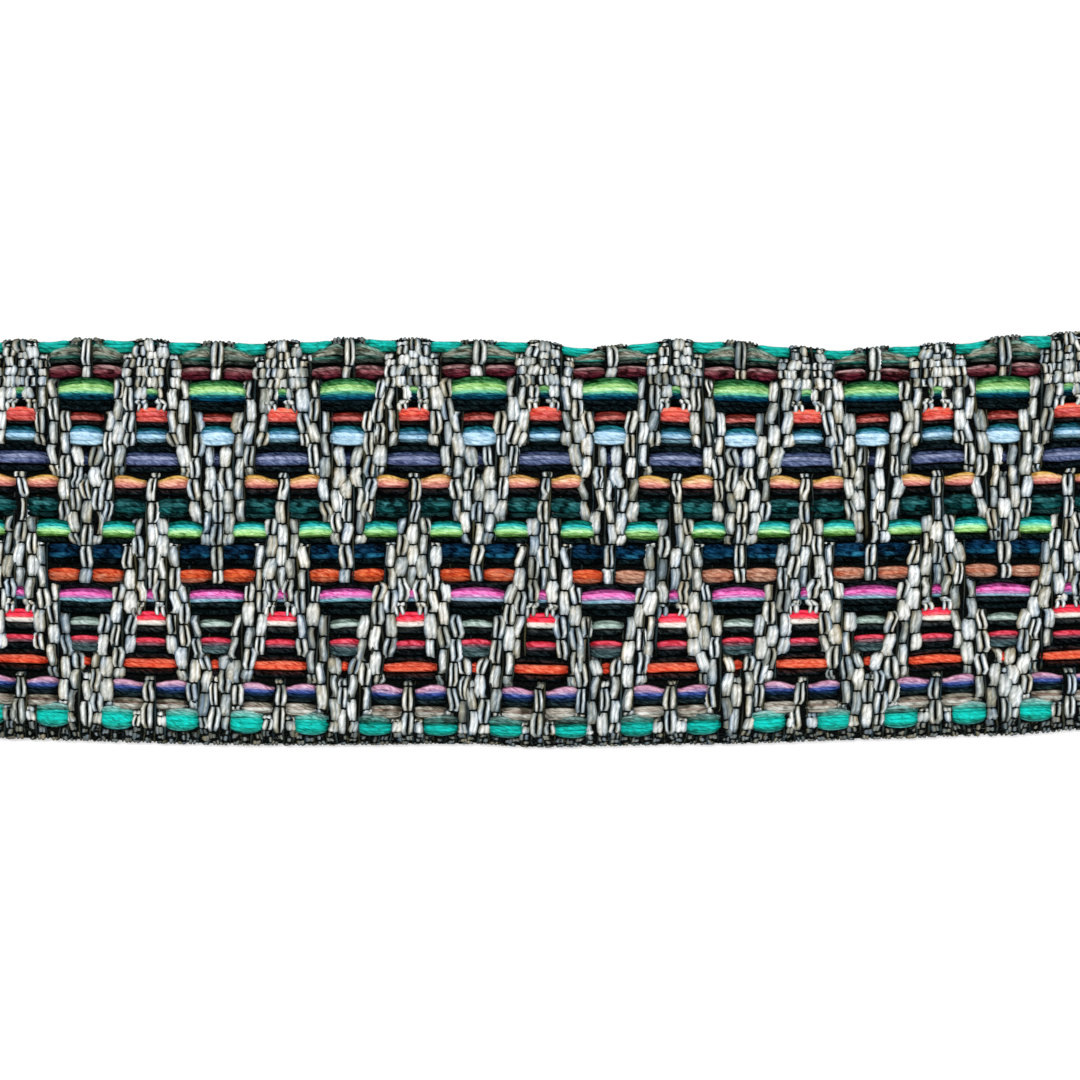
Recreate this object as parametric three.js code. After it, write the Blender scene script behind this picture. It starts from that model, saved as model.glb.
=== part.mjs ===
// Herringbone webbing: a cut length of patterned strap, woven in one piece, lying flat with its face up.
// Millimetres. +X runs along the strap, +Y across it to the upper selvedge, +Z up from where it lies.
import * as THREE from 'three';

// Driving sizes
const columnPitch = 1.359; // one pair of crosswise cream yarns
const columnsPerRepeat = 12; // from one point of the herringbone to the next like it
const repeats = 10;
const columnCount = columnsPerRepeat * repeats;

// Heights above the flat underside
const heights = {
  groove: 1.25, // dark filling yarn between two colour rows
  cream: 1.75, // cream ribs
  creamShoulder: 1.6, // end of a cream rib beside a colour yarn
  floatEnd: 1.85, // colour yarn where it dives under a rib
  floatCrest: 2.2, // colour yarn at the middle of its float
};

// The selvedge turns down to the surface in three short steps
const selvedge = {
  lipHeight: 1.15,
  lipInset: 0.4,
  sideHeight: 0.55,
  baseInset: 0.35,
  ripple: 0.12, // the edge swells where the outermost colour yarn turns
};

// Columns of one repeat where a colour yarn lies on the face. Column 0 is the point of one V of the
// herringbone, column 6 the point of the next.
const drafts = {
  spread: [2, 3, 4, 8, 9, 10],
  shoulderSix: [3, 4, 5, 7, 8, 9],
  wideSix: [4, 5, 6, 7, 8],
  points: [5, 6, 7, 11, 0, 1],
  wideZero: [10, 11, 0, 1, 2],
  shoulderZero: [9, 10, 11, 1, 2, 3],
};

// Colour rows from the upper selvedge down, each at its distance from that selvedge on a strap that
// is exactly 50 wide
const colourRows = [
  { name: 'upper teal', fromTop: 0.9, draft: 'spread' },
  { name: 'upper taupe', fromTop: 1.9, draft: 'shoulderSix' },
  { name: 'maroon', fromTop: 3.9, draft: 'shoulderSix' },
  { name: 'lime', fromTop: 6.1, draft: 'wideSix' },
  { name: 'coral', fromTop: 9.2, draft: 'points' },
  { name: 'light blue', fromTop: 12.0, draft: 'points' },
  { name: 'purple', fromTop: 14.7, draft: 'wideZero' },
  { name: 'apricot', fromTop: 17.4, draft: 'shoulderZero' },
  { name: 'dark green', fromTop: 20.5, draft: 'shoulderZero' },
  { name: 'cyan and lime', fromTop: 23.5, draft: 'spread' },
  { name: 'navy', fromTop: 26.6, draft: 'shoulderSix' },
  { name: 'rust', fromTop: 29.0, draft: 'shoulderSix' },
  { name: 'pink', fromTop: 31.7, draft: 'wideSix' },
  { name: 'red and white', fromTop: 34.7, draft: 'points' },
  { name: 'crimson', fromTop: 37.7, draft: 'points' },
  { name: 'orange', fromTop: 40.4, draft: 'wideZero' },
  { name: 'rose and blue', fromTop: 43.1, draft: 'shoulderZero' },
  { name: 'lower taupe', fromTop: 45.4, draft: 'shoulderZero' },
  { name: 'lower teal', fromTop: 47.4, draft: 'spread' },
];

// The strap isn't quite straight or even. Each row is a section at a place along it, with the
// distance of five lengthwise lines from the middle, and how far the lower selvedge has slipped along.
const sections = [
  { along: -82.0, top: 25.0, lightBlue: 13.8, pink: -5.7, teal: -20.5, bottom: -23.6, slip: 0.0 },
  { along: -67.7, top: 25.2, lightBlue: 13.4, pink: -6.1, teal: -21.3, bottom: -24.3, slip: 0.0 },
  { along: -52.8, top: 25.4, lightBlue: 13.1, pink: -6.5, teal: -21.9, bottom: -24.8, slip: -0.25 },
  { along: -37.9, top: 25.0, lightBlue: 13.1, pink: -6.5, teal: -22.5, bottom: -25.2, slip: -0.45 },
  { along: -21.7, top: 25.5, lightBlue: 13.1, pink: -6.4, teal: -23.1, bottom: -25.2, slip: -0.8 },
  { along: -8.0, top: 25.2, lightBlue: 13.1, pink: -6.3, teal: -23.3, bottom: -25.1, slip: -0.85 },
  { along: -0.6, top: 25.1, lightBlue: 13.2, pink: -6.5, teal: -23.5, bottom: -25.5, slip: -0.85 },
  { along: 5.6, top: 24.3, lightBlue: 13.2, pink: -6.6, teal: -23.4, bottom: -25.4, slip: -0.85 },
  { along: 14.4, top: 25.2, lightBlue: 13.1, pink: -6.6, teal: -23.1, bottom: -25.2, slip: -0.8 },
  { along: 21.8, top: 25.2, lightBlue: 12.9, pink: -6.4, teal: -22.9, bottom: -25.1, slip: -0.8 },
  { along: 29.3, top: 24.6, lightBlue: 12.9, pink: -6.3, teal: -22.5, bottom: -24.9, slip: -0.8 },
  { along: 37.4, top: 24.1, lightBlue: 12.9, pink: -6.1, teal: -22.3, bottom: -24.6, slip: -0.85 },
  { along: 44.2, top: 24.6, lightBlue: 13.1, pink: -6.0, teal: -22.0, bottom: -24.4, slip: -0.6 },
  { along: 51.7, top: 25.0, lightBlue: 13.4, pink: -5.8, teal: -21.5, bottom: -24.1, slip: -0.25 },
  { along: 59.1, top: 25.9, lightBlue: 13.4, pink: -5.8, teal: -21.1, bottom: -23.9, slip: -0.05 },
  { along: 66.6, top: 26.2, lightBlue: 13.7, pink: -5.6, teal: -20.9, bottom: -23.3, slip: 0.0 },
  { along: 82.0, top: 26.7, lightBlue: 14.3, pink: -5.0, teal: -20.4, bottom: -22.6, slip: 0.0 },
];

// The lines of the table above, at their distance from the upper selvedge
const guideLines = [
  { line: 'top', fromTop: 0 },
  { line: 'lightBlue', fromTop: 12.0 },
  { line: 'pink', fromTop: 31.7 },
  { line: 'teal', fromTop: 47.4 },
  { line: 'bottom', fromTop: 50 },
];
const slipStart = 23.5; // the slip grows from this line to the lower selvedge

function slopeAt(index, column) {
  const before = sections[Math.max(index - 1, 0)];
  const after = sections[Math.min(index + 1, sections.length - 1)];
  return (after[column] - before[column]) / (after.along - before.along);
}

// A smooth curve through one column of the table
function sectionValue(along, column) {
  let index = 0;
  while (index < sections.length - 2 && sections[index + 1].along < along) {
    index += 1;
  }
  const start = sections[index];
  const end = sections[index + 1];
  const span = end.along - start.along;
  const t = (along - start.along) / span;
  const startSlope = slopeAt(index, column) * span;
  const endSlope = slopeAt(index + 1, column) * span;
  return (
    start[column] * (1 + 2 * t) * (1 - t) ** 2 +
    startSlope * t * (1 - t) ** 2 +
    end[column] * (3 - 2 * t) * t ** 2 -
    endSlope * (1 - t) * t ** 2
  );
}

// Carries a point of the even, straight strap to where it lies on this one
function placeAcross(along, fromTop) {
  let index = 0;
  while (index < guideLines.length - 2 && guideLines[index + 1].fromTop < fromTop) {
    index += 1;
  }
  const upper = guideLines[index];
  const lower = guideLines[index + 1];
  const t = (fromTop - upper.fromTop) / (lower.fromTop - upper.fromTop);
  return THREE.MathUtils.lerp(sectionValue(along, upper.line), sectionValue(along, lower.line), t);
}

function slipAlong(along, fromTop) {
  const share = (fromTop - slipStart) / (guideLines.at(-1).fromTop - slipStart);
  return Math.max(share, 0) * sectionValue(along, 'slip');
}

function columnInRepeat(station) {
  const fromMiddle = station - columnCount / 2;
  return THREE.MathUtils.euclideanModulo(fromMiddle, columnsPerRepeat);
}

function floats(row, column) {
  return drafts[row.draft].includes(THREE.MathUtils.euclideanModulo(column, columnsPerRepeat));
}

// Height on the middle line of a colour row
function crestHeight(row, column) {
  if (!floats(row, column)) {
    return heights.cream;
  }
  const inside = floats(row, column - 1) && floats(row, column + 1);
  return inside ? heights.floatCrest : heights.floatEnd;
}

// Height half way between two colour rows
function gapHeight(upper, lower, column) {
  const covered = [upper, lower].filter((row) => floats(row, column)).length;
  return [heights.cream, heights.creamShoulder, heights.groove][covered];
}

// The lengthwise lines of the face: one on each colour row, and one between rows that stand apart
function faceLines() {
  const crowdedGap = 1.9;
  const lines = [];
  colourRows.forEach((row, index) => {
    lines.push({ fromTop: row.fromTop, height: (column) => crestHeight(row, column) });
    const next = colourRows[index + 1];
    if (next && next.fromTop - row.fromTop > crowdedGap) {
      const middle = (row.fromTop + next.fromTop) / 2;
      lines.push({ fromTop: middle, height: (column) => gapHeight(row, next, column) });
    }
  });
  return lines;
}

// One cross-section: down the lower selvedge, along the underside, up the other and over the face
function crossSection(station, lines) {
  const column = columnInRepeat(station);
  const along = (station - columnCount / 2) * columnPitch;
  const cut = station === 0 || station === columnCount;
  const swell = selvedge.ripple * Math.cos((column / columnsPerRepeat) * 4 * Math.PI);
  const top = placeAcross(along, guideLines[0].fromTop) + swell;
  const bottom = placeAcross(along, guideLines.at(-1).fromTop) - swell;
  const middle = (top + bottom) / 2;
  const lowerSlip = cut ? 0 : slipAlong(along, guideLines.at(-1).fromTop);
  const point = (slip, across, height) => new THREE.Vector3(along + slip, across, height);
  return [
    point(lowerSlip, bottom + selvedge.baseInset, 0),
    point(0, middle, 0),
    point(0, top - selvedge.baseInset, 0),
    point(0, top, selvedge.sideHeight),
    point(0, top - selvedge.lipInset, selvedge.lipHeight),
    ...lines.map((line) => {
      const slip = cut ? 0 : slipAlong(along, line.fromTop);
      return point(slip, placeAcross(along, line.fromTop), line.height(column));
    }),
    point(lowerSlip, bottom + selvedge.lipInset, selvedge.lipHeight),
    point(lowerSlip, bottom, selvedge.sideHeight),
  ];
}

// Joins the sections into one closed solid and closes the two cut ends
function loftSections(loops) {
  const size = loops[0].length;
  const positions = loops.flat().flatMap((point) => [point.x, point.y, point.z]);
  const faces = [];
  for (let station = 0; station + 1 < loops.length; station += 1) {
    for (let corner = 0; corner < size; corner += 1) {
      const next = (corner + 1) % size;
      const a = station * size + corner;
      const b = station * size + next;
      const c = a + size;
      const d = b + size;
      faces.push(a, b, c, b, d, c);
    }
  }
  const lastLoop = (loops.length - 1) * size;
  const startCap = THREE.ShapeUtils.triangulateShape(loops[0].map(toOutline), []);
  const endCap = THREE.ShapeUtils.triangulateShape(loops.at(-1).map(toOutline), []);
  startCap.forEach(([a, b, c]) => faces.push(c, b, a));
  endCap.forEach(([a, b, c]) => faces.push(lastLoop + a, lastLoop + b, lastLoop + c));
  const geometry = new THREE.BufferGeometry();
  geometry.setAttribute('position', new THREE.Float32BufferAttribute(positions, 3));
  geometry.setIndex(faces);
  return geometry;
}

function toOutline(point) {
  return new THREE.Vector2(point.y, point.z);
}

// The origin is the middle of the strap's box, on the surface
function centreOnBase(geometry) {
  geometry.computeBoundingBox();
  const centre = geometry.boundingBox.getCenter(new THREE.Vector3());
  geometry.translate(-centre.x, -centre.y, -geometry.boundingBox.min.z);
  return geometry;
}

function makeWebbing() {
  const lines = faceLines();
  const loops = [];
  for (let station = 0; station <= columnCount; station += 1) {
    loops.push(crossSection(station, lines));
  }
  const geometry = centreOnBase(loftSections(loops));
  geometry.computeVertexNormals();
  const yarn = new THREE.MeshStandardMaterial({ color: 0x8f8d86, roughness: 0.92, metalness: 0 });
  const webbing = new THREE.Mesh(geometry, yarn);
  webbing.name = 'webbing';
  return webbing;
}

const model = new THREE.Group();
model.add(makeWebbing());

export default model;
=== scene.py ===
import math

import bpy
import numpy as np
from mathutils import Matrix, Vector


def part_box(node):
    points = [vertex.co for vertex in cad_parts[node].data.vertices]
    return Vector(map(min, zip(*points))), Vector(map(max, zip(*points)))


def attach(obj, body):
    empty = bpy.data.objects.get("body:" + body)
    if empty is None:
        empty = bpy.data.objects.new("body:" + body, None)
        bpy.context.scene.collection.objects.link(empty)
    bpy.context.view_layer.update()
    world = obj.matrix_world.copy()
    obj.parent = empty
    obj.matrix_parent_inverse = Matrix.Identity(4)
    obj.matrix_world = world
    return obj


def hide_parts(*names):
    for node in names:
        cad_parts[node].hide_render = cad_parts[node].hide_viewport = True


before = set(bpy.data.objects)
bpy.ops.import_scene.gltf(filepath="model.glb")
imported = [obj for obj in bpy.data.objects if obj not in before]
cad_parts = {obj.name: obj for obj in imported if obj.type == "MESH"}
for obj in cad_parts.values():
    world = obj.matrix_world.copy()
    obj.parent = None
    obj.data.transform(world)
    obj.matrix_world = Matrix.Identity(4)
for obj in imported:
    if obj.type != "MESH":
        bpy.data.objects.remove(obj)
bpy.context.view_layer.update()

# A cut length of herringbone webbing that lies flat, made yarn by yarn.
# Places on the cloth are (along, fromTop, height) in millimetres: along the strap from its middle,
# down from the upper selvedge, and up from the underside.

mm = 0.001
bodyName = "root"
nodeName = "webbing"

strap = {
    "columnPitch": 1.359,  # one pair of cream crosswise yarns
    "columnsPerRepeat": 12,
    "reach": 60,  # columns from the middle one to a cut end
    "width": 50.0,
    "slipFrom": 23.5,  # the lower selvedge has slipped along, and the slip grows from this line
    "edgeDip": 0.42,  # how far the upper edge sinks between the points of the Vs
    "dipReach": 1.3,  # the sinking fades out this far down
    "edgeRipple": 0.12,  # how far the solid's edge swells past its line
}

# The strap is a little bowed and uneven. Six lengthwise lines lie this far down from the upper selvedge.
# For places along the strap the table has the place of each line, up from the middle, and the slip.
guideDepths = {"top": 0.0, "maroon": 4.0, "lightBlue": 12.0, "pink": 31.7, "teal": 47.4, "bottom": 50.0}
sectionNames = ("along", *guideDepths, "slip")
sections = np.array((
    (-82.0, 25.0, 21.2, 13.8, -5.7, -20.5, -23.6, 0.0),
    (-67.7, 25.2, 21.2, 13.4, -6.1, -21.3, -24.3, 0.0),
    (-52.8, 25.4, 21.2, 13.1, -6.5, -21.9, -24.8, -0.25),
    (-37.9, 25.0, 20.9, 13.1, -6.5, -22.5, -25.2, -0.45),
    (-21.7, 25.5, 21.2, 13.1, -6.4, -23.1, -25.2, -0.8),
    (-8.0, 25.2, 21.35, 13.1, -6.3, -23.3, -25.1, -0.85),
    (-0.6, 25.1, 21.4, 13.2, -6.5, -23.5, -25.5, -0.85),
    (5.6, 24.3, 21.15, 13.2, -6.6, -23.4, -25.4, -0.85),
    (14.4, 25.2, 21.4, 13.1, -6.6, -23.1, -25.2, -0.8),
    (21.8, 25.2, 21.1, 12.9, -6.4, -22.9, -25.1, -0.8),
    (29.3, 24.6, 20.85, 12.9, -6.3, -22.5, -24.9, -0.8),
    (37.4, 24.1, 20.9, 12.9, -6.1, -22.3, -24.6, -0.85),
    (44.2, 24.6, 20.95, 13.1, -6.0, -22.0, -24.4, -0.6),
    (51.7, 25.0, 21.3, 13.4, -5.8, -21.5, -24.1, -0.25),
    (59.1, 25.9, 21.5, 13.4, -5.8, -21.1, -23.9, -0.05),
    (66.6, 26.2, 21.8, 13.7, -5.6, -20.9, -23.3, 0.0),
    (82.0, 26.7, 22.4, 14.3, -5.0, -20.4, -22.6, 0.0),
))


# A smooth curve through one column of the table
def sectionValue(name, along):
    at = sections[:, 0]
    value = sections[:, sectionNames.index(name)]
    last = len(at) - 1
    before = np.maximum(np.arange(last + 1) - 1, 0)
    after = np.minimum(np.arange(last + 1) + 1, last)
    slope = (value[after] - value[before]) / (at[after] - at[before])
    i = np.clip(np.searchsorted(at, along) - 1, 0, last - 1)
    span = at[i + 1] - at[i]
    t = (along - at[i]) / span
    start = value[i] * (1 + 2 * t) * (1 - t) ** 2 + slope[i] * span * t * (1 - t) ** 2
    end = value[i + 1] * (3 - 2 * t) * t ** 2 - slope[i + 1] * span * (1 - t) * t ** 2
    return start + end


# The frame's origin is the middle of the solid's box, so its highest edge gives the shift across
endAlong = np.array([strap["reach"] * strap["columnPitch"]])
acrossShift = sectionValue("top", endAlong)[0] + strap["edgeRipple"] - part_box(nodeName)[1].y / mm


# Lays places of the even chart on the bowed and uneven strap
def placeOnStrap(along, fromTop):
    halfRepeat = strap["columnPitch"] * strap["columnsPerRepeat"] / 2
    dip = strap["edgeDip"] * (1 - np.cos(2 * math.pi * along / halfRepeat)) / 2
    fromTop = fromTop + dip * np.clip(1 - fromTop / strap["dipReach"], 0, 1)
    lines = np.stack([sectionValue(name, along) for name in guideDepths])
    depths = np.array(list(guideDepths.values()))
    i = np.clip(np.searchsorted(depths, fromTop) - 1, 0, len(depths) - 2)
    share = (fromTop - depths[i]) / (depths[i + 1] - depths[i])
    each = np.arange(len(along))
    across = lines[i, each] * (1 - share) + lines[i + 1, each] * share
    slipShare = np.clip((fromTop - strap["slipFrom"]) / (strap["width"] - strap["slipFrom"]), 0, None)
    return along + slipShare * sectionValue("slip", along), across - acrossShift


print("strap layout ready, shift across", round(float(acrossShift), 3), "mm")


def hexToLinear(hexColour):
    parts = [int(hexColour[i:i + 2], 16) / 255 for i in (1, 3, 5)]
    return [c / 12.92 if c <= 0.04045 else ((c + 0.055) / 1.055) ** 2.4 for c in parts] + [1.0]


def addNode(tree, kind, props=None, values=None, links=None):
    node = tree.nodes.new(kind)
    for name, value in (props or {}).items():
        setattr(node, name, value)
    for socket, value in (values or {}).items():
        node.inputs[socket].default_value = value
    for socket, source in (links or {}).items():
        tree.links.new(source, node.inputs[socket])
    return node


# Columns of one repeat where the colour yarns of a row lie on the face. Column 0 is the point of one
# V of the herringbone and column 6 the point of the next.
drafts = {
    "spread": (2, 3, 4, 8, 9, 10),
    "shoulderSix": (3, 4, 5, 7, 8, 9),
    "wideSix": (4, 5, 6, 7, 8),
    "pointSix": (5, 6, 7),
    "pointZero": (11, 0, 1),
    "wideZero": (10, 11, 0, 1, 2),
    "shoulderZero": (9, 10, 11, 1, 2, 3),
}

yarnColours = {
    "black": ("#060E10", "#0D181B"),
    "inkBlue": ("#303E5C", "#384668"),
    "nightBlue": ("#0A2036", "#10263E"),
    "charcoal": ("#363C36", "#2A302C"),
    "pineBlack": ("#0E2222", "#143030"),
    "slateBlack": ("#1A2828", "#141C1E"),
    "aquaTeal": ("#00AEA2", "#0CB4AA"),
    "teal": ("#009686", "#008476"),
    "deepTeal": ("#00685C", "#005448"),
    "deepTurquoise": ("#04B6AA", "#005C50"),
    "turquoise": ("#00C0B4", "#00ACA2"),
    "paleAqua": ("#62B2A8", "#303E38"),
    "mistAqua": ("#92B6B2", "#6C8682"),
    "mistGrey": ("#3E9690", "#2E6A68"),
    "redBrown": ("#7A5C4C", "#A49A90"),
    "taupe": ("#7A9488", "#709688"),
    "warmTaupe": ("#847E70", "#747A6C"),
    "paleTaupe": ("#8A8A7C", "#78847C"),
    "mossTeal": ("#4A5A50", "#1E7A6E"),
    "pinkGrey": ("#A68686", "#927272"),
    "maroon": ("#4E0E1C", "#7E424A"),
    "darkMaroon": ("#3A0E18", "#4C1220"),
    "bottleGreen": ("#1E5A30", "#174A28"),
    "leafGreen": ("#4C8E50", "#3A7C44"),
    "lime": ("#5A8E44", "#ACD48E"),
    "paleLime": ("#A2CC92", "#B8DEAA"),
    "mint": ("#6CBE9E", "#4CA68C"),
    "seaMint": ("#88D8BE", "#68C8AC"),
    "frostLime": ("#C0E8AE", "#A2D69A"),
    "peacock": ("#06667A", "#06586C"),
    "deepBlue": ("#022C3E", "#003C5A"),
    "darkRed": ("#6E1E14", "#5A1810"),
    "red": ("#C0746C", "#B65E58"),
    "paleCoral": ("#F6866A", "#EE8070"),
    "duskCoral": ("#D86E64", "#C4625A"),
    "coral": ("#E46048", "#CC6262"),
    "darkTeal": ("#0C626A", "#0A5A64"),
    "steelBlue": ("#5E98B4", "#4C8CA8"),
    "paleBlue": ("#CCE4F4", "#BEDAEC"),
    "skyBlue": ("#B6D0DE", "#A8C6D6"),
    "inkTeal": ("#044650", "#043A44"),
    "deepSteel": ("#4E8CA8", "#407E9A"),
    "dullBlue": ("#BCDCF0", "#AACADE"),
    "greyBlue": ("#5A7E8A", "#4C707C"),
    "lavender": ("#7A84A2", "#9098B4"),
    "dusk": ("#5A688C", "#646E94"),
    "ochre": ("#B8924E", "#D0B064"),
    "apricot": ("#E6BE98", "#DCAA8A"),
    "paleSalmon": ("#E2AC9A", "#D49088"),
    "brick": ("#B26E68", "#A65E5E"),
    "darkPine": ("#163E40", "#103436"),
    "pine": ("#2E686A", "#1E5456"),
    "deepPine": ("#105050", "#0C4446"),
    "cyan": ("#1CB6B6", "#12A2A8"),
    "olive": ("#3A6420", "#345A1C"),
    "navy": ("#06304E", "#0A2640"),
    "oceanBlue": ("#06263E", "#185C7A"),
    "rust": ("#D0623A", "#B88A74"),
    "deepRust": ("#C65628", "#B48A74"),
    "brownRust": ("#A04A2A", "#9A7664"),
    "plumPink": ("#A44486", "#8C3872"),
    "pink": ("#F28CCC", "#E676BC"),
    "lilacPink": ("#C48CBA", "#B47CB0"),
    "mistBlue": ("#A0B6C8", "#78AEBA"),
    "greyPine": ("#76887F", "#66786F"),
    "greyGreen": ("#BCCCC6", "#AABEB6"),
    "raspberry": ("#EE4A68", "#E2425E"),
    "brightRed": ("#FC2A4E", "#FA3A5A"),
    "creamWhite": ("#EAE8E2", "#DEDED6"),
    "crimson": ("#DC5266", "#D04860"),
    "mauve": ("#785A62", "#68505C"),
    "greyTeal": ("#465C5E", "#3C5256"),
    "paleOrange": ("#E06A48", "#D66A50"),
    "orange": ("#E05A38", "#DA6648"),
    "rose": ("#D0ACBE", "#C498B0"),
    "lilac": ("#A896B8", "#9A88AE"),
    "royalBlue": ("#38549A", "#304C86"),
    "stone": ("#7E7A6E", "#ACA89E"),
    "creamStone": ("#C6C8C2", "#949288"),
}

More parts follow.
